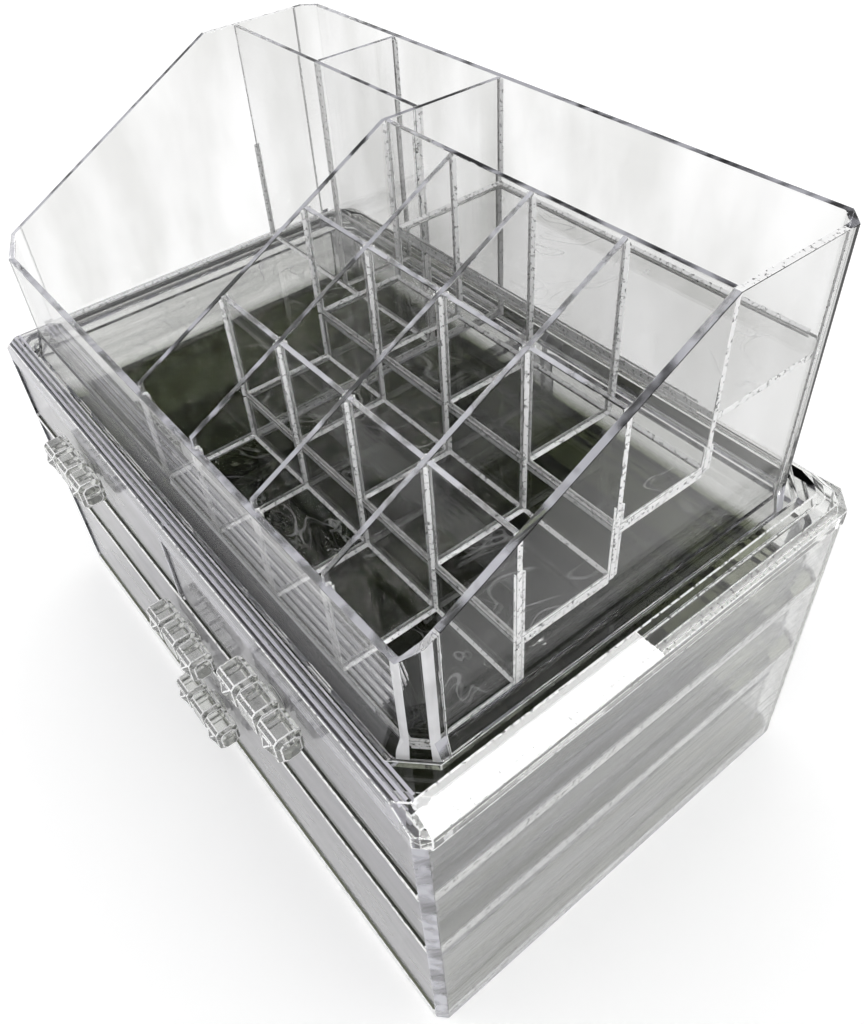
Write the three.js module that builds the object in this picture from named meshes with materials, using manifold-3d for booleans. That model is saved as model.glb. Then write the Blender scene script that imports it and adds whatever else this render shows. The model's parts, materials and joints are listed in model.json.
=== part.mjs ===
// A clear desktop organizer for make-up: a case of four drawers under a loose tray of compartments.
// Millimetres, +Z up, the front faces -Y, and the left and right are those of someone who faces the front.

import * as THREE from 'three';
import { mergeVertices } from 'three/addons/utils/BufferGeometryUtils.js';
import Module from 'manifold-3d';

// Case
const caseWidth = 240; // over the cover's band
const caseDepth = 151.4;
const caseWall = 3;
const bottomPlate = 3;
const shelfPlate = 2.5;
const dividerPlate = 2;
const lowerBay = 44; // clear height
const middleBay = 28;
const upperBay = 28; // clear height up to the cover's underside

// Cover
const coverOverhang = 0.8; // how far the band stands out past each side wall
const seatPlate = 3; // under the tray
const skirt = 2.6; // how far the band hangs below the seat plate
const band = 4.8; // height of the upright band
const bevelRise = 5;
const sideBevelRun = 7;
const backBevelRun = 5.7;
const coverFrontCut = 3.3; // corner cuts of the cover's outline
const coverBackCut = 6;
const seatSideGap = 1; // between the tray's foot and the recess it stands in
const seatFrontGap = 1.3;
const seatBackGap = 4;
const recessWall = 2.5; // round the recess, where the rim is hollow underneath
const hollowSide = 1.5; // the hollow's upright outer side
const hollowRise = 1.9; // and its side under the bevel

// Drawers
const runningGap = 0.3; // under each drawer
const plateGap = 0.5; // round each drawer front
const plateInset = 0.7; // drawer front behind the case's front edge
const drawerPlate = 2.5;
const drawerWall = 2;
const drawerFloor = 2;
const tubInset = 1; // tub side inside the drawer front's edge
const tubDraft = 0.8; // each side of the tub leans in by this much at its foot
const tubBackGap = 4.2; // behind the closed drawer
const tubCornerRadius = 8;
const tubEdgeRadius = 3;
const tubRimDrop = 5.3; // upper tub's rim below the top of its bay
const lowerTubRimDrop = 8;

// Knobs
const knobBlock = 10.2; // width of each of the three blocks
const knobHeight = 9.6;
const knobDepth = 7.8;
const knobEdge = 1.2; // bevel round each block
const knobTip = 1.4; // height of the faceted point on each end block
const knobBlocks = 3;
const stemLength = 1.2;
const stemRadius = 4;
const spigotRadius = 2.5;
const spigotGap = 0.2;

// Tray
const traySideMargin = 12.1; // from the cover's band to the tray's wall
const trayInset = 9.5; // tray front behind the case's front edge
const trayBackMargin = 14.7;
const trayHeight = 83.4;
const trayWall = 2;
const innerWall = 1.6;
const trayFloor = 2;
const trayCornerCut = 4.6;
const footCornerCut = 8.5;
const footBand = 1; // upright edge of the foot
const footSideFlare = 1.4;
const footEndFlare = 3;
const flareTop = 8.7; // where the flare meets the upright wall
const floorHeight = 7.4; // top of the lowest floor above the foot
const stepRise = 15;
const frontWallHeight = 36;
const slopeLift = 3; // of the slope's line above the front wall, at the tray's front
const columnPitch = 28.6;
const columnCount = 4;
const columnSetback = 1; // front end of the column walls behind the tray's front
const rowLines = [29, 56.9, 85.1]; // cross walls from the tray's front
const rearLeftLine = 96; // front wall of the rear left pair from the tray's front
const cornerReturn = 8; // length of side wall that is one piece with the front and back walls

// Shares and counts of facets
const draftShare = 0.45; // of a tub's height, where its side stops leaning
const roundSteps = 6;
const stemSteps = 24;
const overrun = 1; // how far a cutting solid passes the face that it opens

// Heights and places that follow
const lowerShelfBase = bottomPlate + lowerBay;
const middleBase = lowerShelfBase + shelfPlate;
const upperShelfBase = middleBase + middleBay;
const upperBase = upperShelfBase + shelfPlate;
const coverBase = upperBase + upperBay;
const wallTop = coverBase - skirt;
const bandTop = wallTop + band;
const coverTop = bandTop + bevelRise;
const seat = coverBase + seatPlate;
const caseFront = -caseDepth / 2;
const caseBack = caseDepth / 2;
const wallOutside = caseWidth / 2 - coverOverhang;
const wallInside = wallOutside - caseWall;
const backInside = caseBack - caseWall;
const plateFront = caseFront + plateInset;
const plateBack = plateFront + drawerPlate;
const trayFront = caseFront + trayInset;
const trayBack = caseBack - trayBackMargin;
const trayHalf = caseWidth / 2 - traySideMargin;
const trayInside = trayHalf - trayWall;
const trayInsideFront = trayFront + trayWall;
const trayInsideBack = trayBack - trayWall;
const slopeStartHeight = frontWallHeight + slopeLift;
const knobReach = stemLength + knobDepth + knobTip - plateInset;

// Materials
const clearShades = { cover: 0xe9e9ee, wall: 0xdfdfe8, drawer: 0xe4e3e6, knob: 0xf0eff6, tray: 0xeaeaf2 };

function clearPlastic(shade) {
  const opacity = 0.35;
  return new THREE.MeshStandardMaterial({
    color: clearShades[shade], roughness: 0.05, metalness: 0, transparent: true, opacity,
  });
}

function piece(name, shade, geometry, x = 0, y = 0, z = 0) {
  const mesh = new THREE.Mesh(geometry, clearPlastic(shade));
  mesh.name = name;
  mesh.position.set(x, y, z);
  return mesh;
}

// Solids and the booleans between them
const wasm = await Module();
wasm.setup();

function toSolid(geometry) {
  const bare = geometry.clone();
  bare.deleteAttribute('normal');
  bare.deleteAttribute('uv');
  const merged = mergeVertices(bare);
  const mesh = new wasm.Mesh({
    numProp: 3,
    vertProperties: new Float32Array(merged.attributes.position.array),
    triVerts: new Uint32Array(merged.index.array),
  });
  return new wasm.Manifold(mesh);
}

function toGeometry(solid) {
  const mesh = solid.getMesh();
  const geometry = new THREE.BufferGeometry();
  geometry.setAttribute('position', new THREE.BufferAttribute(mesh.vertProperties, 3));
  geometry.setIndex(new THREE.BufferAttribute(mesh.triVerts, 1));
  return geometry;
}

function cut(geometry, ...cutters) {
  return toGeometry(cutters.reduce((solid, cutter) => solid.subtract(toSolid(cutter)), toSolid(geometry)));
}

function join(...geometries) {
  return toGeometry(geometries.map(toSolid).reduce((whole, solid) => whole.add(solid)));
}

// Triangles over a flat ring of points
function capFaces(ring) {
  const normal = new THREE.Vector3();
  ring.forEach((point, i) => normal.add(point.clone().cross(ring[(i + 1) % ring.length])));
  normal.normalize();
  const across = ring[1].clone().sub(ring[0]).normalize();
  const up = normal.clone().cross(across);
  const flat = ring.map((point) => new THREE.Vector2(point.dot(across), point.dot(up)));
  return THREE.ShapeUtils.triangulateShape(flat, []);
}

// A closed solid through rings that run anticlockwise as seen from the last ring's side
function loft(rings) {
  const count = rings[0].length;
  const last = (rings.length - 1) * count;
  const faces = capFaces(rings[0]).map(([a, b, c]) => [c, b, a]);
  for (let start = 0; start < last; start += count) {
    for (let i = 0; i < count; i += 1) {
      const next = (i + 1) % count;
      faces.push([start + i, start + next, start + count + next]);
      faces.push([start + i, start + count + next, start + count + i]);
    }
  }
  faces.push(...capFaces(rings.at(-1)).map((face) => face.map((i) => last + i)));
  const geometry = new THREE.BufferGeometry().setFromPoints(rings.flat());
  geometry.setIndex(faces.flat());
  return geometry;
}

function raise(outline, z) {
  return outline.map(([x, y]) => new THREE.Vector3(x, y, z));
}

// Solids of one outline: a level plate, an upright sheet seen from the side, and one seen from the front
function plate(outline, thickness, holes = []) {
  const shape = new THREE.Shape(outline.map(([x, y]) => new THREE.Vector2(x, y)));
  shape.holes.push(...holes);
  return new THREE.ExtrudeGeometry(shape, { depth: thickness, bevelEnabled: false, curveSegments: stemSteps });
}

function sideSheet(outline, thickness) {
  const toSide = new THREE.Matrix4().makeBasis(
    new THREE.Vector3(0, 1, 0), new THREE.Vector3(0, 0, 1), new THREE.Vector3(1, 0, 0),
  );
  return plate(outline, thickness).translate(0, 0, -thickness / 2).applyMatrix4(toSide);
}

function frontSheet(outline, thickness, holes = []) {
  return plate(outline, thickness, holes).translate(0, 0, -thickness).rotateX(Math.PI / 2);
}

// Outlines, anticlockwise
function rectangle(left, right, low, high) {
  return [[left, low], [right, low], [right, high], [left, high]];
}

function cutRectangle({ half, front, back, frontCut, backCut }) {
  return [
    [-half + frontCut, front], [half - frontCut, front], [half, front + frontCut], [half, back - backCut],
    [half - backCut, back], [-half + backCut, back], [-half, back - backCut], [-half, front + frontCut],
  ];
}

// The same outline drawn in by a wall, where a 45 degree cut gets shorter
function drawnIn(outline, wall) {
  const lost = wall * (2 - Math.SQRT2);
  return {
    half: outline.half - wall,
    front: outline.front + wall,
    back: outline.back - wall,
    frontCut: outline.frontCut - lost,
    backCut: outline.backCut - lost,
  };
}

// The case's walls stand under the cover's band, and its corner cuts run on down them
const caseOutline = {
  half: wallOutside,
  front: caseFront,
  back: caseBack,
  frontCut: coverFrontCut - coverOverhang,
  backCut: coverBackCut - coverOverhang,
};
const caseInside = drawnIn(caseOutline, caseWall);

const footOutline = {
  half: trayHalf + footSideFlare,
  front: trayFront - footEndFlare,
  back: trayBack + footEndFlare,
  frontCut: footCornerCut,
  backCut: footCornerCut,
};

const wallOutline = {
  half: trayHalf, front: trayFront, back: trayBack, frontCut: trayCornerCut, backCut: trayCornerCut,
};

// Case
function coverGeometry() {
  const edge = {
    half: caseWidth / 2, front: caseFront, back: caseBack, frontCut: coverFrontCut, backCut: coverBackCut,
  };
  const rim = {
    half: edge.half - sideBevelRun, front: caseFront, back: caseBack - backBevelRun,
    frontCut: coverFrontCut, backCut: coverBackCut,
  };
  const recess = {
    half: footOutline.half + seatSideGap,
    front: footOutline.front - seatFrontGap,
    back: footOutline.back + seatBackGap,
    frontCut: footCornerCut,
    backCut: footCornerCut,
  };
  const body = loft([
    raise(cutRectangle(edge), wallTop), raise(cutRectangle(edge), bandTop), raise(cutRectangle(rim), coverTop),
  ]);
  const seatCut = plate(cutRectangle(recess), bevelRise + overrun).translate(0, 0, seat);
  const underside = bayOutline(caseFront + caseWall);
  const underCut = plate(underside, skirt + overrun).translate(0, 0, wallTop - overrun);
  return cut(body, seatCut, underCut, rimHollowGeometry(recess));
}

// The hollow under the rim's bevel, on the left, the right and the back
function rimHollowGeometry(recess) {
  const low = bayOutline(caseFront + caseWall);
  const slope = hollowRise / bevelRise;
  const high = bayOutline(caseFront + caseWall, slope * sideBevelRun, slope * backBevelRun);
  const bend = coverBase + hollowSide;
  const space = loft([raise(low, coverBase - overrun), raise(low, bend), raise(high, bend + hollowRise)]);
  const kept = { ...recess, half: recess.half + recessWall, front: caseFront, back: recess.back + recessWall };
  return cut(space, plate(cutRectangle(kept), skirt + band + bevelRise).translate(0, 0, wallTop));
}

// The space between the case's walls, from a given front, or drawn in from them
function bayOutline(front, fromSide = 0, fromBack = 0) {
  const { backCut } = caseInside;
  const half = caseInside.half - fromSide;
  const back = caseInside.back - fromBack;
  return [
    [-half, front], [half, front], [half, back - backCut], [half - backCut, back],
    [-half + backCut, back], [-half, back - backCut],
  ];
}

// One side wall with its rear corner panel, on the left (-1) or the right (1)
function sideWallGeometry(side) {
  const { half, front, back, frontCut, backCut } = caseOutline;
  const rearEnd = caseInside.half - caseInside.backCut;
  const outline = [
    [caseInside.half, front], [half - frontCut, front], [half, front + frontCut], [half, back - backCut],
    [half - backCut, back], [rearEnd, back], [rearEnd, caseInside.back],
    [caseInside.half, caseInside.back - caseInside.backCut],
  ];
  const sided = outline.map(([x, y]) => [side * x, y]);
  return plate(side < 0 ? sided.reverse() : sided, wallTop);
}

function backWallGeometry() {
  const half = caseInside.half - caseInside.backCut;
  return plate(rectangle(-half, half, caseInside.back, caseBack), wallTop);
}

function levelPlateGeometry(thickness) {
  return plate(bayOutline(caseFront), thickness);
}

function dividerGeometry() {
  const outline = [
    [caseFront, upperBase], [backInside, upperBase], [backInside, coverBase],
    [caseFront + caseWall, coverBase], [caseFront + caseWall, wallTop], [caseFront, wallTop],
  ];
  return sideSheet(outline, dividerPlate);
}

function buildCase() {
  const group = new THREE.Group();
  group.add(
    piece('case_bottom', 'wall', levelPlateGeometry(bottomPlate)),
    piece('case_left_wall', 'wall', sideWallGeometry(-1)),
    piece('case_right_wall', 'wall', sideWallGeometry(1)),
    piece('case_back_wall', 'wall', backWallGeometry()),
    piece('shelf_lower', 'wall', levelPlateGeometry(shelfPlate), 0, 0, lowerShelfBase),
    piece('shelf_upper', 'wall', levelPlateGeometry(shelfPlate), 0, 0, upperShelfBase),
    piece('top_tier_divider', 'wall', dividerGeometry()),
    piece('case_top_cover', 'cover', coverGeometry()),
  );
  return group;
}

// Drawers
function tubOutline(half, front, back, radius) {
  const corner = (x, from) => Array.from({ length: roundSteps + 1 }, (_, i) => {
    const angle = from + (Math.PI / 2) * (i / roundSteps);
    return [x + radius * Math.cos(angle), back - radius + radius * Math.sin(angle)];
  });
  return [[-half, front], [half, front], ...corner(half - radius, 0), ...corner(-half + radius, Math.PI / 2)];
}

// Rings up the side of a tub: a round lower edge, a side that leans out, and an upright rim
function tubRings({ half, front, back, radius, edge, base, top }) {
  const ring = (inset, z) => raise(tubOutline(half - inset, front, back - inset, radius), z);
  const rings = [];
  for (let i = 0; i <= roundSteps; i += 1) {
    const angle = (Math.PI / 2) * (i / roundSteps);
    rings.push(ring(tubDraft + edge * (1 - Math.sin(angle)), base + edge * (1 - Math.cos(angle))));
  }
  rings.push(ring(0, base + (top - base) * draftShare), ring(0, top));
  return rings;
}

function tubGeometry(half, height) {
  const outside = {
    half, front: plateBack, back: backInside - tubBackGap, radius: tubCornerRadius, edge: tubEdgeRadius,
    base: 0, top: height,
  };
  const inside = {
    half: half - drawerWall,
    front: plateBack - overrun,
    back: outside.back - drawerWall,
    radius: tubCornerRadius - drawerWall,
    edge: tubEdgeRadius - drawerWall,
    base: drawerFloor,
    top: height + overrun,
  };
  return cut(loft(tubRings(outside)), loft(tubRings(inside)));
}

function drawerFrontGeometry(half, height, knobZ) {
  const hole = new THREE.Path().absarc(0, knobZ, spigotRadius + spigotGap, 0, Math.PI * 2, true);
  return frontSheet(rectangle(-half, half, 0, height), drawerPlate, [hole]);
}

// One block of the knob between two necks, as bevelled squares along X
function blockRings(left) {
  const ring = (x, inset) => {
    const outline = {
      half: knobDepth / 2 - inset, front: -knobHeight / 2 + inset, back: knobHeight / 2 - inset,
      frontCut: knobEdge, backCut: knobEdge,
    };
    return cutRectangle(outline).map(([y, z]) => new THREE.Vector3(x, y, z));
  };
  const right = left + knobBlock;
  return [ring(left, knobEdge), ring(left + knobEdge, 0), ring(right - knobEdge, 0), ring(right, knobEdge)];
}

function knobTipGeometry(centre) {
  const halfAcross = (knobBlock - 2 * knobEdge) / 2;
  const halfUp = (knobHeight - 2 * knobEdge) / 2;
  const pyramid = new THREE.ConeGeometry(Math.SQRT2, knobTip + knobEdge, 4);
  pyramid.rotateY(Math.PI / 4).rotateX(Math.PI).scale(halfAcross, 1, halfUp);
  return pyramid.translate(centre, -(knobDepth + knobTip - knobEdge) / 2, 0);
}

function knobGeometry() {
  const start = (-knobBlocks / 2) * knobBlock;
  const rings = [];
  for (let i = 0; i < knobBlocks; i += 1) {
    const block = blockRings(start + i * knobBlock);
    rings.push(...(i > 0 ? block.slice(1) : block));
  }
  const endCentre = ((knobBlocks - 1) / 2) * knobBlock;
  const stem = roundBar(stemRadius, -overrun, stemLength);
  const spigot = roundBar(spigotRadius, stemLength - overrun, stemLength + drawerPlate);
  return join(loft(rings), knobTipGeometry(-endCentre), knobTipGeometry(endCentre), stem, spigot);
}

// A round bar along +Y between two distances behind the knob's blocks
function roundBar(radius, from, to) {
  const bar = new THREE.CylinderGeometry(radius, radius, to - from, stemSteps);
  return bar.translate(0, knobDepth / 2 + (from + to) / 2, 0);
}

function buildDrawer({ name, centre, half, base, bay, clear, rimDrop, knobLift }) {
  const group = new THREE.Group();
  const front = drawerFrontGeometry(half, clear - runningGap - plateGap, knobLift);
  const tub = tubGeometry(half - tubInset, bay - runningGap - rimDrop);
  const knobCentreY = plateFront - stemLength - knobDepth / 2;
  group.add(
    piece(`${name}_front`, 'drawer', front, 0, plateFront),
    piece(`${name}_tub`, 'drawer', tub),
    piece(`${name}_knob`, 'knob', knobGeometry(), 0, knobCentreY, knobLift),
  );
  group.position.set(centre, 0, base + runningGap);
  return group;
}

function buildDrawers() {
  const fullHalf = wallInside - plateGap;
  const upperHalf = (wallInside - dividerPlate / 2) / 2 - plateGap;
  const upperCentre = (wallInside + dividerPlate / 2) / 2;
  const upper = {
    half: upperHalf, base: upperBase, bay: upperBay, clear: upperBay - skirt, rimDrop: tubRimDrop,
    knobLift: upperBay / 2 - runningGap,
  };
  return [
    buildDrawer({ name: 'upper_left_drawer', centre: -upperCentre, ...upper }),
    buildDrawer({ name: 'upper_right_drawer', centre: upperCentre, ...upper }),
    buildDrawer({
      name: 'middle_drawer', centre: 0, half: fullHalf, base: middleBase, bay: middleBay, clear: middleBay,
      rimDrop: tubRimDrop, knobLift: middleBay / 2 - runningGap,
    }),
    buildDrawer({
      name: 'lower_drawer', centre: 0, half: fullHalf, base: bottomPlate, bay: lowerBay, clear: lowerBay,
      rimDrop: lowerTubRimDrop, knobLift: lowerBay / 2 - runningGap,
    }),
  ];
}

// Tray, drawn from the foot up and from the case's centre
const slopeEnd = trayFront + rowLines.at(-1) - innerWall / 2;

function slopeHeight(y) {
  const rise = (trayHeight - slopeStartHeight) * ((y - trayFront) / (slopeEnd - trayFront));
  return Math.min(trayHeight, slopeStartHeight + rise);
}

// The wall's section at one station: down the outside, then up the inside
function wallSection(station) {
  const at = (outline, z) => {
    const [x, y] = station(outline);
    return new THREE.Vector3(x, y, z === null ? topHeight(outline, x, y) : z);
  };
  const foot = drawnIn(footOutline, trayWall);
  const inner = drawnIn(wallOutline, trayWall);
  return [
    at(wallOutline, null), at(wallOutline, flareTop), at(footOutline, footBand), at(footOutline, 0),
    at(foot, 0), at(foot, footBand), at(inner, floorHeight - trayFloor), at(inner, null),
  ];
}

function topHeight(outline, x, y) {
  const onFront = y === outline.front;
  return onFront ? frontWallHeight : slopeHeight(y);
}

const frontSeam = trayFront + cornerReturn;
const backSeam = trayBack - cornerReturn;

// Stations run anticlockwise round the tray as seen from above
const stations = {
  front: [
    (o) => [-o.half, frontSeam], (o) => [-o.half, o.front + o.frontCut], (o) => [-o.half + o.frontCut, o.front],
    (o) => [o.half - o.frontCut, o.front], (o) => [o.half, o.front + o.frontCut], (o) => [o.half, frontSeam],
  ],
  right: [(o) => [o.half, frontSeam], (o) => [o.half, slopeEnd], (o) => [o.half, backSeam]],
  back: [
    (o) => [o.half, backSeam], (o) => [o.half, o.back - o.backCut], (o) => [o.half - o.backCut, o.back],
    (o) => [-o.half + o.backCut, o.back], (o) => [-o.half, o.back - o.backCut], (o) => [-o.half, backSeam],
  ],
  left: [(o) => [-o.half, backSeam], (o) => [-o.half, slopeEnd], (o) => [-o.half, frontSeam]],
};

function outerWall(side) {
  return piece(`tray_${side}_wall`, 'tray', loft(stations[side].map(wallSection)));
}

const columnLines = Array.from(
  { length: columnCount },
  (_, i) => trayHalf - trayWall / 2 - (columnCount - i) * columnPitch,
);
const rowPlaces = rowLines.map((line) => trayFront + line);
const rearLeftPlace = trayFront + rearLeftLine;
const mainLine = columnLines[0]; // the wall that parts the left compartments from the columns
const mainLeft = mainLine - innerWall / 2;
const mainRight = mainLine + innerWall / 2;
const insideCut = drawnIn(wallOutline, trayWall).frontCut;

function floor(name, outline, level) {
  return piece(name, 'tray', plate(outline, trayFloor), 0, 0, floorHeight - trayFloor + level * stepRise);
}

function leftFloor() {
  return floor('tray_floor_left', [
    [-trayInside + insideCut, trayInsideFront], [mainLeft, trayInsideFront], [mainLeft, trayInsideBack],
    [-trayInside + insideCut, trayInsideBack], [-trayInside, trayInsideBack - insideCut],
    [-trayInside, trayInsideFront + insideCut],
  ], 0);
}

function stepFloors() {
  const [first, second, third] = rowPlaces;
  const half = innerWall / 2;
  const frontRow = [
    [mainRight, trayInsideFront], [trayInside - insideCut, trayInsideFront],
    [trayInside, trayInsideFront + insideCut], [trayInside, first - half], [mainRight, first - half],
  ];
  const rear = [
    [mainRight, third + half], [trayInside, third + half], [trayInside, trayInsideBack - insideCut],
    [trayInside - insideCut, trayInsideBack], [mainRight, trayInsideBack],
  ];
  return [
    floor('tray_floor_row_1', frontRow, 0),
    floor('tray_floor_row_2', rectangle(mainRight, trayInside, first + half, second - half), 1),
    floor('tray_floor_row_3', rectangle(mainRight, trayInside, second + half, third - half), 2),
    floor('tray_floor_rear_right', rear, 3),
  ];
}

// A cross wall between two upright walls, from one height to another
function crossWall(name, left, right, y, low, high) {
  const sheet = frontSheet(rectangle(left, right, low, high), innerWall);
  return piece(name, 'tray', sheet, 0, y - innerWall / 2);
}

function risers() {
  return rowPlaces.slice(0, 2).map((y, i) => {
    const low = floorHeight - trayFloor + i * stepRise;
    return crossWall(`tray_riser_${i + 1}`, mainRight, trayInside, y, low, floorHeight + (i + 1) * stepRise);
  });
}

// The side view of a column wall: up the front end, down the slope's line, and back along the steps
function columnOutline() {
  const half = innerWall / 2;
  const nib = trayFront + columnSetback;
  const steps = rowPlaces.slice(0, 2).flatMap((y, i) => {
    const under = floorHeight + i * stepRise;
    return [[y - half, under], [y - half, under + stepRise]];
  });
  const top = slopeEnd;
  return [
    [trayInsideFront, floorHeight], ...steps, [top, floorHeight + 2 * stepRise], [top, trayHeight],
    [nib, slopeHeight(nib)], [nib, frontWallHeight], [trayInsideFront, frontWallHeight],
  ];
}

function mainWallOutline() {
  const nib = trayFront + columnSetback;
  const base = floorHeight - trayFloor;
  return [
    [trayInsideFront, base], [trayInsideBack, base], [trayInsideBack, trayHeight], [slopeEnd, trayHeight],
    [nib, slopeHeight(nib)], [nib, frontWallHeight], [trayInsideFront, frontWallHeight],
  ];
}

function columnWalls() {
  return columnLines.map((x, i) => {
    const outline = i === 0 ? mainWallOutline() : columnOutline();
    return piece(`tray_column_wall_${i + 1}`, 'tray', sideSheet(outline, innerWall), x);
  });
}

function rowDividers() {
  const half = innerWall / 2;
  return rowPlaces.slice(0, 2).flatMap((y, row) => columnLines.map((x, i) => {
    const right = i + 1 < columnCount ? columnLines[i + 1] - half : trayInside;
    const low = floorHeight + (row + 1) * stepRise;
    return crossWall(`tray_divider_${row + 1}_${i + 1}`, x + half, right, y, low, slopeHeight(y));
  }));
}

function rearWalls() {
  const low = floorHeight - trayFloor + 2 * stepRise;
  const leftMiddle = (mainLine - trayHalf + trayWall / 2) / 2;
  const pairFront = rearLeftPlace + innerWall / 2;
  const rearDivider = rectangle(pairFront, trayInsideBack, floorHeight, trayHeight);
  return [
    crossWall('tray_rear_right_front_wall', mainRight, trayInside, rowPlaces[2], low, trayHeight),
    crossWall('tray_rear_left_front_wall', -trayInside, mainLeft, rearLeftPlace, floorHeight, trayHeight),
    piece('tray_rear_left_divider', 'tray', sideSheet(rearDivider, innerWall), leftMiddle),
  ];
}

function buildTray() {
  const group = new THREE.Group();
  group.add(...Object.keys(stations).map(outerWall));
  group.add(leftFloor(), ...stepFloors(), ...risers(), ...columnWalls(), ...rowDividers(), ...rearWalls());
  group.position.z = seat;
  return group;
}

const organizer = new THREE.Group();
organizer.add(buildCase(), ...buildDrawers(), buildTray());
organizer.position.y = knobReach / 2; // centres the whole on the origin, knobs included

export default organizer;
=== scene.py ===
import json
import math

import bmesh
import bpy
import numpy as np
from mathutils import Matrix, Vector
from mathutils.bvhtree import BVHTree


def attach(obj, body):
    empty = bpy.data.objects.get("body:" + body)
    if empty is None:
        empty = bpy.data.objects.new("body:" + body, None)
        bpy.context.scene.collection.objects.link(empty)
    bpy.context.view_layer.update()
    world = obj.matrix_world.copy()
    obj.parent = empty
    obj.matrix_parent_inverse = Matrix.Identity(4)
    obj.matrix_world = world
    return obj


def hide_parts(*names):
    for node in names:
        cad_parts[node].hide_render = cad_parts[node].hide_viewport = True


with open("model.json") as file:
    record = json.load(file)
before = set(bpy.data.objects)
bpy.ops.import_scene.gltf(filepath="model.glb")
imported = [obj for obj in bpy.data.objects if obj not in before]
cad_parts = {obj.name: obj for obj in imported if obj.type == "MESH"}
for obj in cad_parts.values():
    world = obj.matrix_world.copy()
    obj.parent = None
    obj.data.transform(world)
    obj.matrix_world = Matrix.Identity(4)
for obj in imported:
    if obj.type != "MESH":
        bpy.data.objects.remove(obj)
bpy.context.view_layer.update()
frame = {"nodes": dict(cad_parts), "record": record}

# The looks of a clear make-up organizer, in metres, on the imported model.
MM = 0.001

# Sizes of joints, fillets and edges
JOINT_GAP = 0.02 * MM  # each solid is drawn in by this, so that the joints inside a moulding show as bands
JOINT_REACH = 0.1 * MM  # a face with another solid this close in front of it is a joint
FILLET = 0.9 * MM
BEAD_STEP = 0.5 * MM  # how finely the fillets stop at the walls that cross them
EDGE_RADIUS = 0.25 * MM
NARROW_FACE = 2.2 * MM  # faces up to this width are the cut edges of walls and plates
CASE_NARROW_FACE = 4.5 * MM  # the same in the case, whose walls are thicker
SHARP_ANGLE = math.radians(35)
SAME_POINT = 0.001 * MM  # corners this close are merged
FLAT_ANGLE = math.radians(0.5)  # faces that turn less than this are merged
FLAT_ANGLE_ONCE_MOVED = math.radians(1.0)
SAME_DIRECTION = 0.9999  # the cosine above which two faces count as one
WEAKEST_TURN = 0.05  # turns of the faces round a corner that are weaker than this don't move the corner

# Places in each piece's list of plastics, which starts with that of its faces
RIM_PLASTIC, SEAM_PLASTIC = 1, 2
NEIGHBOUR_PLASTIC = -1  # for bevels that take the plastic of the faces beside them

# Colours
CLEAR_TINT = (0.1, 0.13, 0.0)
TRAY_TINT = (0.04, 0.04, 0.03)
# Painted shade: the shelves' dark absorption stands for the shade seen through the case's plates
PAINTED_SHADE_TINT = (0.25, 0.28, 0.1)
WHITE_HAZE = (0.95, 0.95, 0.97)
MAUVE_HAZE = (0.66, 0.65, 0.72)
DRAWER_HAZE = (0.45, 0.44, 0.48)
SEAM_HAZE = (1, 1, 1)
RIM_HAZE = (0.84, 0.84, 0.92)
# Painted shade: the dark colour laid on the cover's seat, which stands for the shade seen there
PAINTED_SEAT_SHADE = (0.16, 0.18, 0.11)
# Painted reflection: the grey of the clouds on the tray's walls, which stand for the room mirrored there
PAINTED_WALL_REFLECTION = (0.82, 0.82, 0.81)
PAPER = (0.85, 0.85, 0.85)

# Marks: scales of the noise per metre, and the levels between which a mark rises from nothing to full
STREAK_HEIGHT = 0.045 * MM
STREAK_SCALE, STREAK_STRETCH, STREAK_LEVELS = 500, (0.03, 0.03, 1), (0.35, 0.65)
WAVE_HEIGHT = 0.003 * MM
WAVE_SCALE = 60
BLOOM_SCALE, BLOOM_STRETCH, BLOOM_LEVELS = 90, (0.3, 1, 1), (0.3, 0.7)
BLOOM_CLOUDS = 0.3  # the share of a bloom that is clouds
SWIRL_SCALE, SWIRL_DISTORTION, SWIRL_WIDTHS = 30, 1.2, (0.002, 0.007)
SWIRL_PATCH_SCALE, SWIRL_PATCH_LEVELS = 40, (0.46, 0.54)
LEVEL_FACE = (0.8, 0.9)  # the upward part of the normal
LINE_PITCH = 1.7 * MM
LINE_LEVELS = (-0.2, 0.4)
# The clouds are painted reflections on the tray's walls
WALL_CLOUD_SCALE, WALL_CLOUD_STRETCH, WALL_CLOUD_LEVELS = 45, (1, 1, 0.4), (0.35, 0.65)
BUBBLE_HEIGHT = 0.05 * MM

# Places of marks and tints, in millimetres
SEAT_BOX = ((-112, 112), (-68, 68), (107, 112))
PAINTED_SHADE_LEFT_END, PAINTED_SHADE_REAR_END = (-80, -72), (51, 55)  # where the painted shade on the seat fades out
EVERYWHERE = ((-500, 500), (-500, 500), (-500, 500))
RIB_BOX = ((-6, 92), (-59.5, -50.5), (115.5, 119))
TRAY_FRONT_BOX = ((-98, 98), (-65, -59.2), (110, 155))
CORNER_BOXES = [((102, 104.1), (-65, -60.5), (113, 148)), ((107.2, 110), (-57.4, -55), (113, 154))]
FRONT_BOX = ((-121, 121), (-72, -66), (0, 118))
FASCIA_BOX = ((-121, 121), (-72, -70.3), (100, 118))
# The pale lines on the front rim are painted highlights, standing for the light refracted in its steps
FRONT_RIM_BOX = ((-118, 112), (-70.4, -65.4), (105, 118))
LEFT_RIM_BOX = ((-118, -106), (-68, 70), (111.2, 118))
# Where the tray's walls get painted reflections
WALL_BOXES = [((-110, 110), (56, 70), (120, 195)), ((-110, -105.8), (-54, 58), (120, 195))]

# The photograph's camera: image size and middle of the lens in pixels, and the camera's place and turn
IMAGE_WIDTH, IMAGE_HEIGHT = 864, 1024
FOCAL_PIXELS = 932.6
LENS_CENTRE_PIXEL = (429.8, 485.9)
CAMERA_PLACE = Vector((194.6, -114.55, 292.7)) * MM
CAMERA_AZIMUTH, CAMERA_ELEVATION, CAMERA_ROLL = 54.6, 43.5, -4.35
SENSOR_WIDTH = 36.0

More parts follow.
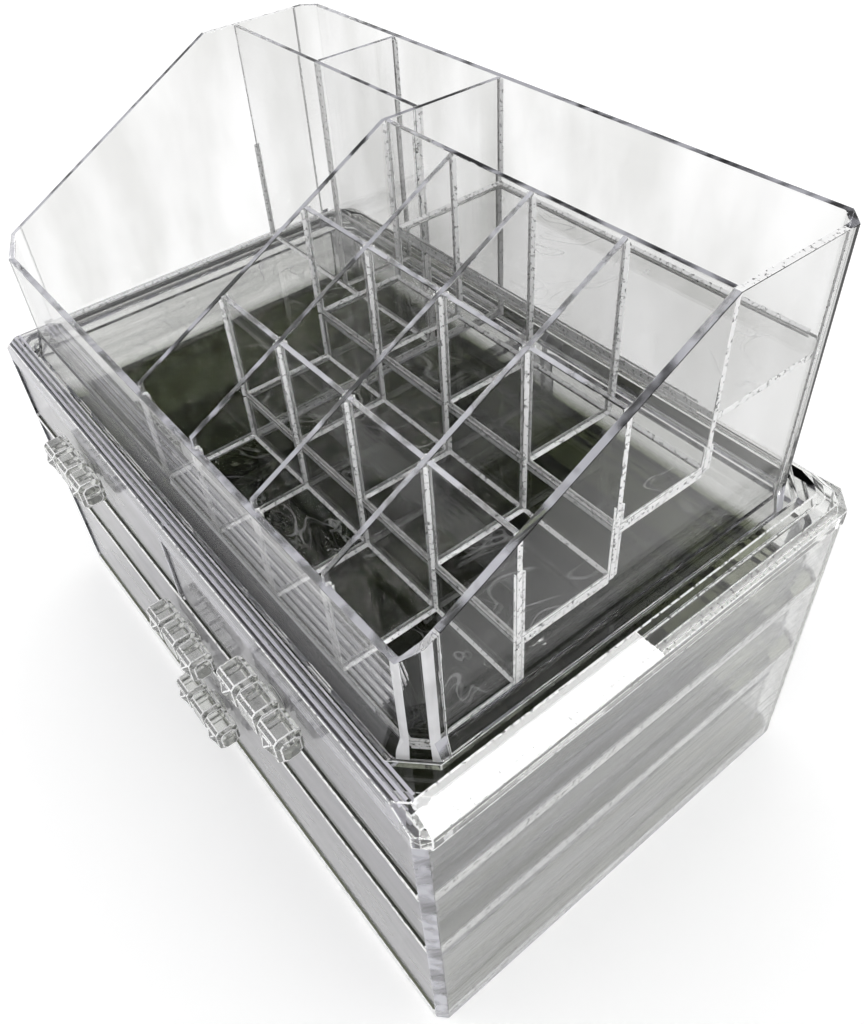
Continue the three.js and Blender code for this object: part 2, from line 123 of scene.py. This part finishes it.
# The floor, the world and the key light
FLOOR_HALF_WIDTH = 3.0
FLOOR_DROP = 0.2 * MM  # keeps the floor clear of the base
FLOOR_GLOW = 0.3
FLAG_SEEN = 0.03  # the brightness of the dark flag that the level plates mirror
FLAG_TOWARDS = (-0.59, 0.42, 0.69)
FLAG_EDGE = (0.80, 0.91)  # its soft edge, outer end first, as cosines of the angle from its middle
FLAG_FOOT = (0.2, 0.42)  # its soft lower edge, as sines of the height above the horizon
KEY_TOWARDS = Vector((0.726, 0.270, 0.632))
KEY_AIM = Vector((0, 0, 110)) * MM
KEY_DISTANCE, KEY_WIDTH, KEY_HEIGHT = 0.9, 0.347, 0.35
KEY_RADIANCE = 16


# Meshes

def grown(node, by):
    """A copy of a CAD node's mesh with every face moved out along its normal by the same distance."""
    source = frame["nodes"][node].data
    mesh = bmesh.new()
    mesh.from_mesh(source)
    bmesh.ops.remove_doubles(mesh, verts=mesh.verts, dist=SAME_POINT)
    bmesh.ops.dissolve_limit(mesh, angle_limit=FLAT_ANGLE, verts=mesh.verts, edges=mesh.edges)
    bmesh.ops.triangulate(mesh, faces=mesh.faces)
    mesh.normal_update()
    moved = []
    for vertex in mesh.verts:
        normals = []
        for face in vertex.link_faces:
            if all(face.normal.dot(other) < SAME_DIRECTION for other in normals):
                normals.append(face.normal.copy())
        planes = np.array([tuple(normal) for normal in normals])
        shift = np.linalg.lstsq(planes, np.full(len(planes), by), rcond=WEAKEST_TURN)[0]
        moved.append(vertex.co + Vector(shift))
    for vertex, place in zip(mesh.verts, moved):
        vertex.co = place
    bmesh.ops.dissolve_limit(mesh, angle_limit=FLAT_ANGLE_ONCE_MOVED, verts=mesh.verts, edges=mesh.edges)
    return mesh


def add_object(name, data):
    thing = bpy.data.objects.new(name, data)
    bpy.context.scene.collection.objects.link(thing)
    return thing


def solid_trees(nodes):
    """Search trees of the CAD solids, to ask which places lie inside them."""
    trees = {}
    for node in nodes:
        mesh = bmesh.new()
        mesh.from_mesh(frame["nodes"][node].data)
        trees[node] = BVHTree.FromBMesh(mesh)
        mesh.free()
    return trees


def inside(place, trees):
    """Whether one of the solids holds the place."""
    for tree in trees:
        nearest, normal, _, _ = tree.find_nearest(place)
        if (place - nearest).dot(normal) < 0:
            return True
    return False


def mark_narrow_faces(mesh, trees, narrow_face):
    """Joints with a neighbour take the seam plastic and other cut edges the rim plastic."""
    for face in mesh.faces:
        if 2 * face.calc_area() / face.calc_perimeter() < narrow_face:
            place = face.calc_center_median_weighted() + JOINT_REACH * face.normal
            face.material_index = SEAM_PLASTIC if inside(place, trees) else RIM_PLASTIC


def add_beads(beads, joint, trees):
    """Fillets along a joint's long sides above the base, where the neighbour goes on and the air is free."""
    inward = -joint.normal
    middle = joint.calc_center_median()
    for edge in joint.edges:
        if edge.calc_length() < CASE_NARROW_FACE:
            continue
        start, end = (vertex.co for vertex in edge.verts)
        along = (end - start).normalized()
        away = along.cross(inward)
        if away.dot(start - middle) < 0:
            away.negate()
        corner = start + JOINT_GAP * away
        steps = int((end - start).length / BEAD_STEP)
        first = None
        for step in range(steps + 1):
            place = start + (step + 0.5) * BEAD_STEP * along + FILLET / 2 * away
            held = step < steps and place.z > 0 and inside(place - JOINT_REACH * inward, trees)
            free = held and not inside(place + FILLET / 2 * inward, trees)
            if free and first is None:
                first = step
            if not free and first is not None:
                near, far = (corner + count * BEAD_STEP * along for count in (first, step))
                add_bead(beads, near, far, away, inward)
                first = None


def add_bead(beads, start, end, away, inward):
    """A bar of triangular section."""
    ends = []
    for corner in (start, end):
        ends.append([beads.verts.new(corner + FILLET * side) for side in (Vector(), away, inward)])
    near, far = ends
    faces = [near, far[::-1]] + [(near[i], near[i - 1], far[i - 1], far[i]) for i in range(3)]
    for face in faces:
        beads.faces.new(face).material_index = SEAM_PLASTIC


def add_mesh(whole, part):
    share = bpy.data.meshes.new("share")
    part.to_mesh(share)
    part.free()
    whole.from_mesh(share)
    bpy.data.meshes.remove(share)


def moulding(name, nodes, body, narrow_face):
    """One piece that stands for several touching CAD nodes of a body."""
    nodes = sorted(nodes)
    trees = solid_trees(frame["record"]["behaviour"]["bodies"][body])
    whole = bmesh.new()
    beads = bmesh.new()
    for node in nodes:
        mesh = grown(node, -JOINT_GAP)
        others = [tree for other, tree in trees.items() if other != node]
        mark_narrow_faces(mesh, others, narrow_face)
        for face in mesh.faces:
            if face.material_index == SEAM_PLASTIC:
                add_beads(beads, face, trees.values())
        add_mesh(whole, mesh)
    bmesh.ops.recalc_face_normals(beads, faces=beads.faces)
    add_mesh(whole, beads)
    data = bpy.data.meshes.new(name)
    whole.to_mesh(data)
    whole.free()
    thing = add_object(name, data)
    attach(thing, body)
    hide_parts(*nodes)
    return thing


def round_edges(thing, material_index):
    bevel = thing.modifiers.new("edges", "BEVEL")
    bevel.width = EDGE_RADIUS
    bevel.segments = 2
    bevel.limit_method = "ANGLE"
    bevel.angle_limit = SHARP_ANGLE
    bevel.use_clamp_overlap = False
    bevel.miter_outer = "MITER_ARC"
    bevel.material = material_index


# Materials

def new_material(name):
    material = bpy.data.materials.new(name)
    material.use_nodes = True
    tree = material.node_tree
    tree.nodes.clear()
    return material, tree


def add_node(tree, kind, values=None, **properties):
    node = tree.nodes.new(kind)
    for key, value in properties.items():
        setattr(node, key, value)
    for socket, value in (values or {}).items():
        node.inputs[socket].default_value = value
    return node


def join(tree, operation, first, second):
    node = add_node(tree, "ShaderNodeMath", operation=operation)
    for socket, source in zip(node.inputs, (first, second)):
        if isinstance(source, float):
            socket.default_value = source
        else:
            tree.links.new(source, socket)
    return node.outputs[0]


def spread(tree, source, low, high, top):
    """Nothing up to the low value, then a rise to the top at the high value."""
    node = add_node(tree, "ShaderNodeMapRange", {"From Min": low, "From Max": high, "To Max": top})
    tree.links.new(source, node.inputs["Value"])
    return node.outputs["Result"]


def noise(tree, place, scale, stretch=(1, 1, 1), detail=2, distortion=0.0):
    mapping = add_node(tree, "ShaderNodeMapping", {"Scale": stretch})
    texture = add_node(tree, "ShaderNodeTexNoise", {
        "Scale": scale, "Detail": detail, "Roughness": 0.5, "Distortion": distortion,
    })
    tree.links.new(place, mapping.inputs["Vector"])
    tree.links.new(mapping.outputs[0], texture.inputs["Vector"])
    return texture.outputs["Fac"]


def in_box(tree, place, box):
    """One inside a box of the object's own coordinates, given in millimetres, and nothing outside."""
    parts = add_node(tree, "ShaderNodeSeparateXYZ")
    tree.links.new(place, parts.inputs[0])
    result = 1.0
    for part, (low, high) in zip("XYZ", box):
        values = {1: (low + high) / 2 * MM, 2: (high - low) / 2 * MM}
        near = add_node(tree, "ShaderNodeMath", values, operation="COMPARE")
        tree.links.new(parts.outputs[part], near.inputs[0])
        result = join(tree, "MULTIPLY", near.outputs[0], result)
    return result


def streak_marks(strength):
    """Pale flow streaks along the walls."""
    def marks(tree, place):
        return spread(tree, streak_noise(tree, place), *STREAK_LEVELS, strength)
    return marks


def streak_noise(tree, place):
    return noise(tree, place, STREAK_SCALE, stretch=STREAK_STRETCH)


def frost(strength, box):
    """An even bloom with soft clouds in it."""
    def marks(tree, place):
        clouds = noise(tree, place, BLOOM_SCALE, stretch=BLOOM_STRETCH)
        clouds = spread(tree, clouds, *BLOOM_LEVELS, BLOOM_CLOUDS * strength)
        level = join(tree, "ADD", clouds, (1 - BLOOM_CLOUDS) * strength)
        return join(tree, "MULTIPLY", level, in_box(tree, place, box))
    return marks


def swirls(strength):
    """Hair-fine curved scratches on the level faces, in patches."""
    def marks(tree, place):
        level = noise(tree, place, SWIRL_SCALE, distortion=SWIRL_DISTORTION)
        off_line = join(tree, "ABSOLUTE", join(tree, "SUBTRACT", level, 0.5), 0.0)
        line = join(tree, "SUBTRACT", 1.0, spread(tree, off_line, *SWIRL_WIDTHS, 1.0))
        patch = spread(tree, noise(tree, place, SWIRL_PATCH_SCALE), *SWIRL_PATCH_LEVELS, strength)
        normal = add_node(tree, "ShaderNodeSeparateXYZ")
        tree.links.new(add_node(tree, "ShaderNodeTexCoord").outputs["Normal"], normal.inputs[0])
        level_face = spread(tree, join(tree, "ABSOLUTE", normal.outputs["Z"], 0.0), *LEVEL_FACE, 1.0)
        return join(tree, "MULTIPLY", level_face, join(tree, "MULTIPLY", line, patch))
    return marks


def pale_lines(strength, box):
    """Pale lines side by side, along X."""
    def marks(tree, place):
        parts = add_node(tree, "ShaderNodeSeparateXYZ")
        tree.links.new(place, parts.inputs[0])
        turns = join(tree, "MULTIPLY", parts.outputs["Y"], 2 * math.pi / LINE_PITCH)
        lines = spread(tree, join(tree, "SINE", turns, 0.0), *LINE_LEVELS, strength)
        return join(tree, "MULTIPLY", lines, in_box(tree, place, box))
    return marks


def painted_seat_shade_area(tree, place):
    """The part of the cover's seat that gets painted shade: a dark colour that stands for the shade seen
    there.
    """
    parts = add_node(tree, "ShaderNodeSeparateXYZ")
    tree.links.new(place, parts.inputs[0])
    right = spread(tree, parts.outputs["X"], *(end * MM for end in PAINTED_SHADE_LEFT_END), 1.0)
    rear = spread(tree, parts.outputs["Y"], *(end * MM for end in PAINTED_SHADE_REAR_END), 1.0)
    area = join(tree, "MULTIPLY", right, join(tree, "SUBTRACT", 1.0, rear))
    return join(tree, "MULTIPLY", area, in_box(tree, place, SEAT_BOX))


def painted_wall_reflections(tree, place):
    """Soft upright clouds of painted reflection on the tray's left and rear walls: greyer patches that stand
    for the room mirrored there.
    """
    clouds = noise(tree, place, WALL_CLOUD_SCALE, stretch=WALL_CLOUD_STRETCH, detail=4)
    clouds = spread(tree, clouds, *WALL_CLOUD_LEVELS, 1.0)
    walls = [in_box(tree, place, box) for box in WALL_BOXES]
    return join(tree, "MULTIPLY", clouds, join(tree, "MAXIMUM", *walls))


def tinted(tree, place, shade, area):
    """White, with the shade painted in the area: painted shade and painted reflections."""
    colour = add_node(tree, "ShaderNodeMix", data_type="RGBA")
    colour.inputs["A"].default_value = (1, 1, 1, 1)
    colour.inputs["B"].default_value = (*shade, 1)
    tree.links.new(area(tree, place), colour.inputs["Factor"])
    return colour.outputs["Result"]


def clear_plastic(
    name, tint, density, hazes, shade=WHITE_HAZE, streak_height=0.0, shine=0.0, bending=1.5, painted_light=None,
):
    """Moulded polystyrene: a tint that deepens with thickness, flow streaks along the walls, and pale marks.

    The painted light is a colour and the area that it covers: painted shade on the cover's seat and painted
    reflections on the tray's walls.
    """
    material, tree = new_material(name)
    output = add_node(tree, "ShaderNodeOutputMaterial")
    glass = add_node(tree, "ShaderNodeBsdfPrincipled", {
        "Base Color": (1, 1, 1, 1), "Roughness": 0.0, "IOR": bending, "Transmission Weight": 1.0,
        "Specular Tint": (shine, shine, shine, 1),
    })
    haze = add_node(tree, "ShaderNodeBsdfPrincipled", {"Base Color": (*shade, 1), "Roughness": 0.3})
    absorption = add_node(tree, "ShaderNodeVolumeAbsorption", {"Color": (*tint, 1), "Density": density})
    place = add_node(tree, "ShaderNodeTexCoord").outputs["Object"]
    waves = add_node(tree, "ShaderNodeBump", {"Strength": 1.0, "Distance": WAVE_HEIGHT})
    flow = add_node(tree, "ShaderNodeBump", {"Strength": 1.0, "Distance": streak_height})
    if painted_light:
        tree.links.new(tinted(tree, place, *painted_light), glass.inputs["Base Color"])
    amount = hazes[0](tree, place)
    for marks in hazes[1:]:
        amount = join(tree, "MAXIMUM", amount, marks(tree, place))
    tree.links.new(noise(tree, place, WAVE_SCALE), waves.inputs["Height"])
    tree.links.new(streak_noise(tree, place), flow.inputs["Height"])
    tree.links.new(waves.outputs["Normal"], flow.inputs["Normal"])
    tree.links.new(flow.outputs["Normal"], glass.inputs["Normal"])
    tree.links.new(mixed_surface(tree, amount, glass, haze), output.inputs["Surface"])
    tree.links.new(absorption.outputs["Volume"], output.inputs["Volume"])
    return material


def edge_plastic(name, shade, hazes, speck_scale, speck_levels):
    """The moulding's edges and inner corners, paler than its faces, as small bubbles scatter the light."""
    material, tree = new_material(name)
    output = add_node(tree, "ShaderNodeOutputMaterial")
    glass = add_node(tree, "ShaderNodeBsdfPrincipled", {
        "Base Color": (1, 1, 1, 1), "Roughness": 0.02, "IOR": 1.5, "Transmission Weight": 1.0,
    })
    haze = add_node(tree, "ShaderNodeBsdfPrincipled", {
        "Base Color": (*shade, 1), "Roughness": 0.25, "IOR": 1.59,
    })
    place = add_node(tree, "ShaderNodeTexCoord")
    bubbles = add_node(tree, "ShaderNodeTexNoise", {"Scale": speck_scale, "Detail": 2, "Roughness": 0.6})
    amount = add_node(tree, "ShaderNodeMapRange", {
        "From Min": speck_levels[0], "From Max": speck_levels[1], "To Min": hazes[0], "To Max": hazes[1],
    })
    bump = add_node(tree, "ShaderNodeBump", {"Strength": 0.5, "Distance": BUBBLE_HEIGHT})
    tree.links.new(place.outputs["Object"], bubbles.inputs["Vector"])
    tree.links.new(bubbles.outputs["Fac"], amount.inputs["Value"])
    tree.links.new(bubbles.outputs["Fac"], bump.inputs["Height"])
    tree.links.new(bump.outputs["Normal"], glass.inputs["Normal"])
    tree.links.new(mixed_surface(tree, amount.outputs["Result"], glass, haze), output.inputs["Surface"])
    return material


def mixed_surface(tree, amount, first, second):
    mixed = add_node(tree, "ShaderNodeMixShader")
    tree.links.new(amount, mixed.inputs[0])
    tree.links.new(first.outputs["BSDF"], mixed.inputs[1])
    tree.links.new(second.outputs["BSDF"], mixed.inputs[2])
    return mixed.outputs[0]


def floor_material():
    material, tree = new_material("pale_floor")
    output = add_node(tree, "ShaderNodeOutputMaterial")
    paper = add_node(tree, "ShaderNodeBsdfDiffuse", {"Color": (*PAPER, 1)})
    glow = add_node(tree, "ShaderNodeEmission", {"Color": (1, 1, 1, 1)})
    both = add_node(tree, "ShaderNodeAddShader")
    tree.links.new(join(tree, "MULTIPLY", seen_as_background(tree), FLOOR_GLOW), glow.inputs["Strength"])
    tree.links.new(paper.outputs[0], both.inputs[0])
    tree.links.new(glow.outputs[0], both.inputs[1])
    tree.links.new(both.outputs[0], output.inputs["Surface"])
    return material


def seen_as_background(tree):
    """One for camera, glossy and transmission rays, and nothing for the rays that light the object."""
    rays = add_node(tree, "ShaderNodeLightPath").outputs
    either = join(tree, "MAXIMUM", rays["Is Camera Ray"], rays["Is Glossy Ray"])
    return join(tree, "MAXIMUM", either, rays["Is Transmission Ray"])


# Pieces

def make_plastics():
    """The face, rim and seam plastic of each kind of piece."""
    seam = edge_plastic("seam_plastic", SEAM_HAZE, (0.1, 1.0), 900, (0.36, 0.44))
    rim = edge_plastic("rim_plastic", RIM_HAZE, (0.04, 0.5), 100, (0.42, 0.58))
    case_marks = [streak_marks(0.18), swirls(0.15)]
    # The pale lines on the cover's front rim are painted highlights, standing for the light refracted in its
    # steps.
    cover_marks = [
        frost(0.35, FASCIA_BOX), frost(0.3, LEFT_RIM_BOX), pale_lines(0.9, FRONT_RIM_BOX), swirls(0.12),
    ]
    drawer_marks = [streak_marks(0.04), frost(0.45, FRONT_BOX)]
    tray_marks = [swirls(0.25), pale_lines(1.0, RIB_BOX), frost(0.12, TRAY_FRONT_BOX)]
    tray_marks += [frost(0.85, box) for box in CORNER_BOXES]
    faces = {
        "case": clear_plastic("case_plastic", CLEAR_TINT, 35.0, case_marks, MAUVE_HAZE, STREAK_HEIGHT),
        # The cover's seat gets painted shade, a dark colour that stands for the shade seen there.
        "cover": clear_plastic(
            "cover_plastic", CLEAR_TINT, 15.0, cover_marks, MAUVE_HAZE, shine=1.0, painted_light=(PAINTED_SEAT_SHADE, painted_seat_shade_area),
        ),
        "drawer": clear_plastic(
            "drawer_plastic", CLEAR_TINT, 30.0, drawer_marks, DRAWER_HAZE, 0.3 * STREAK_HEIGHT,
        ),
        "knob": clear_plastic("knob_plastic", CLEAR_TINT, 30.0, [frost(0.15, EVERYWHERE)], shine=1.0),
        # The tray's rear and left walls get painted reflections: grey clouds that stand for the room mirrored
        # there.
        "tray": clear_plastic(
            "tray_plastic", TRAY_TINT, 50.0, tray_marks, shine=0.1, bending=1.4, painted_light=(PAINTED_WALL_REFLECTION, painted_wall_reflections),
        ),
    }
    plastics = {kind: [face, rim, seam] for kind, face in faces.items()}
    # The shelves and the base take painted shade: a dark absorption that stands for the shade seen through
    # the case.
    shelf = clear_plastic("shelf_plastic", PAINTED_SHADE_TINT, 450.0, [swirls(0.15)])
    plastics["shelf"] = [shelf, seam, seam]
    return plastics


def make_pieces():
    plastics = make_plastics()
    plates = {"shelf_lower", "shelf_upper", "case_bottom"}
    cover = {"case_top_cover"}
    for body, nodes in frame["record"]["behaviour"]["bodies"].items():
        nodes = set(nodes)
        if body == "case":
            shell = nodes - plates - cover
            add_solid_piece("case_cover", cover, body, plastics["cover"])
            narrow = CASE_NARROW_FACE
            add_walled_piece("case_plates", plates, body, plastics["shelf"], narrow)
            add_walled_piece("case_shell", shell, body, plastics["case"], narrow)
        elif body == "tray":
            add_walled_piece("tray_moulding", nodes, body, plastics["tray"], NARROW_FACE)
        else:
            knobs = {node for node in nodes if node.endswith("_knob")}
            drawer = nodes - knobs
            name = body + "_moulding"
            add_walled_piece(name, drawer, body, plastics["drawer"], NARROW_FACE)
            add_solid_piece(body + "_pull", knobs, body, plastics["knob"])


def add_solid_piece(name, nodes, body, plastics):
    """A thick piece, whose bevelled edges show as pale lines."""
    add_piece(name, nodes, body, plastics, 0.0, SEAM_PLASTIC)


def add_walled_piece(name, nodes, body, plastics, narrow_face):
    """A piece of walls and plates, whose narrow faces and joints show as pale bands."""
    add_piece(name, nodes, body, plastics, narrow_face, NEIGHBOUR_PLASTIC)


def add_piece(name, nodes, body, plastics, narrow_face, edge_plastic_index):
    piece = moulding(name, nodes, body, narrow_face)
    for plastic in plastics:
        piece.data.materials.append(plastic)
    round_edges(piece, edge_plastic_index)


# Stage, lights and camera

def make_floor():
    mesh = bpy.data.meshes.new("floor")
    side = FLOOR_HALF_WIDTH
    corners = [(-side, -side, 0), (side, -side, 0), (side, side, 0), (-side, side, 0)]
    mesh.from_pydata(corners, [], [(0, 1, 2, 3)])
    floor = add_object("floor", mesh)
    floor.location.z = -FLOOR_DROP
    mesh.materials.append(floor_material())


def make_world():
    """White all round, with one dark flag high behind the object, which the level plates mirror.

    The camera itself sees white everywhere. Rays from the floor and the hazes see white as well, also through
    the plastic, so that the flag takes no light from them.
    """
    world = bpy.data.worlds.new("studio")
    world.use_nodes = True
    tree = world.node_tree
    tree.nodes.clear()
    output = add_node(tree, "ShaderNodeOutputWorld")
    sky = add_node(tree, "ShaderNodeBackground", {"Color": (1, 1, 1, 1)})
    place = add_node(tree, "ShaderNodeTexCoord").outputs["Generated"]
    parts = add_node(tree, "ShaderNodeSeparateXYZ")
    along = add_node(tree, "ShaderNodeVectorMath", {1: FLAG_TOWARDS}, operation="DOT_PRODUCT")
    tree.links.new(place, parts.inputs[0])
    tree.links.new(place, along.inputs[0])
    near = soft_step(tree, along.outputs["Value"], FLAG_EDGE)
    high = soft_step(tree, parts.outputs["Z"], FLAG_FOOT)
    brightness = add_node(tree, "ShaderNodeMapRange", {"To Min": 1.0, "To Max": FLAG_SEEN})
    tree.links.new(join(tree, "MULTIPLY", near, high), brightness.inputs["Value"])

    rays = add_node(tree, "ShaderNodeLightPath").outputs
    scattered = join(tree, "MINIMUM", rays["Diffuse Depth"], 1.0)
    seen = join(tree, "SUBTRACT", seen_as_background(tree), scattered)
    level = add_node(tree, "ShaderNodeMapRange", {"To Min": 1.0})
    tree.links.new(seen, level.inputs["Value"])
    tree.links.new(brightness.outputs["Result"], level.inputs["To Max"])
    strength = join(tree, "MAXIMUM", level.outputs["Result"], rays["Is Camera Ray"])
    tree.links.new(strength, sky.inputs["Strength"])
    tree.links.new(sky.outputs[0], output.inputs["Surface"])
    bpy.context.scene.world = world


def soft_step(tree, source, ends):
    node = add_node(tree, "ShaderNodeMapRange", {"From Min": ends[0], "From Max": ends[1]})
    node.interpolation_type = "SMOOTHSTEP"
    tree.links.new(source, node.inputs["Value"])
    return node.outputs["Result"]


def make_key_light():
    """A soft box that faces the object. Radiance times pi times area is its power in watts."""
    light = bpy.data.lights.new("key", "AREA")
    light.shape = "RECTANGLE"
    light.size, light.size_y = KEY_WIDTH, KEY_HEIGHT
    light.energy = KEY_RADIANCE * math.pi * KEY_WIDTH * KEY_HEIGHT
    thing = add_object("key", light)
    away = KEY_TOWARDS.normalized()
    thing.location = KEY_AIM + away * KEY_DISTANCE
    thing.rotation_mode = "QUATERNION"
    thing.rotation_quaternion = away.to_track_quat("Z", "Y")
    thing.visible_diffuse = False


def make_camera():
    azimuth, elevation, roll = map(math.radians, (CAMERA_AZIMUTH, CAMERA_ELEVATION, CAMERA_ROLL))
    across = math.cos(elevation)
    back = Vector((math.sin(azimuth) * across, -math.cos(azimuth) * across, math.sin(elevation)))
    level = (-back).cross(Vector((0, 0, 1))).normalized()
    upright = level.cross(-back)
    right = math.cos(roll) * level + math.sin(roll) * upright
    up = math.cos(roll) * upright - math.sin(roll) * level
    data = bpy.data.cameras.new("camera")
    data.sensor_width = SENSOR_WIDTH
    data.lens = SENSOR_WIDTH * FOCAL_PIXELS / IMAGE_HEIGHT
    data.shift_x = (IMAGE_WIDTH / 2 - LENS_CENTRE_PIXEL[0]) / IMAGE_HEIGHT
    data.shift_y = (LENS_CENTRE_PIXEL[1] - IMAGE_HEIGHT / 2) / IMAGE_HEIGHT
    data.clip_start = 10 * MM
    camera = add_object("camera", data)
    turn = Matrix((right, up, back)).transposed()
    camera.matrix_world = Matrix.Translation(CAMERA_PLACE) @ turn.to_4x4()
    bpy.context.scene.camera = camera


def set_rendering():
    """Light has to pass many walls before it gets dark inside."""
    scene = bpy.context.scene
    scene.view_settings.view_transform = "Standard"
    scene.cycles.max_bounces = 40
    scene.cycles.transmission_bounces = 40
    scene.cycles.glossy_bounces = 12
    scene.cycles.transparent_max_bounces = 64


make_pieces()
make_floor()
make_world()
make_key_light()
make_camera()
set_rendering()
